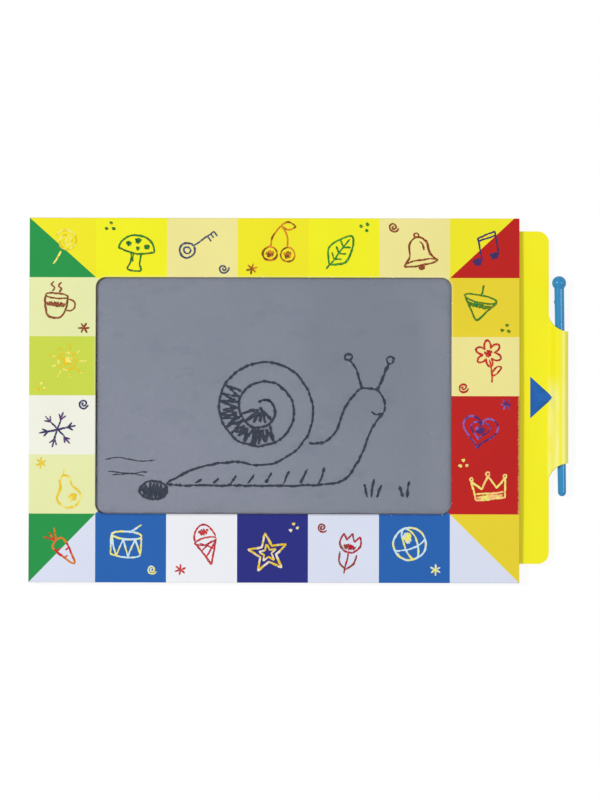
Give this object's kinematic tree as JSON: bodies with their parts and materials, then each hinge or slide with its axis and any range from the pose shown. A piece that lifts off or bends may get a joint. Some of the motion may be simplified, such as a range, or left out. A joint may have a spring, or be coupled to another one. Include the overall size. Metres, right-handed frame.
{
  "type": "magic slate",
  "caption": "Flat drawing slate: a card sleeve with a window over grey film on waxed board, a pull-out yellow slider that clears the picture, and a blue stylus in the slider's loop.",
  "frame": {"origin": "centre of the whole part's underside, on the surface it lies on", "axes": "+X to the right of the picture, the way the slider pulls out; +Y to the picture's top; +Z out of the drawing face"},
  "size_m": [0.275, 0.186, 0.0073],
  "materials": {
    "printed_card": "printed and laminated",
    "greyboard": "matt",
    "white_card": "matt",
    "black_wax": "waxed, satin",
    "grey_film": "satin, translucent",
    "clear_film": "clear gloss",
    "white_tape": "matt",
    "yellow_plastic": "satin gloss",
    "blue_label": "printed, satin",
    "blue_plastic": "gloss"
  },
  "bodies": {
    "sleeve": {"front_frame": "printed_card", "back_board": "greyboard", "spacer_top": "white_card", "spacer_bottom": "white_card", "spacer_left": "white_card", "wax_board": "black_wax", "drawing_film": "grey_film", "cover_film": "clear_film", "film_strip_left": "white_tape", "film_strip_right": "white_tape"},
    "slider": {"slider_sheet": "yellow_plastic", "arrow_label": "blue_label"},
    "stylus": {"stylus": "blue_plastic"}
  },
  "joints": [
    {"name": "slider_pull", "type": "slide", "parent": "sleeve", "child": "slider", "axis": [1, 0, 0], "range_m": [0, 0.2]},
    {"name": "stylus_draw", "type": "slide", "parent": "slider", "child": "stylus", "axis": [-0.014, 0.9999, 0], "range_m": [-0.018, 0.09]}
  ]
}
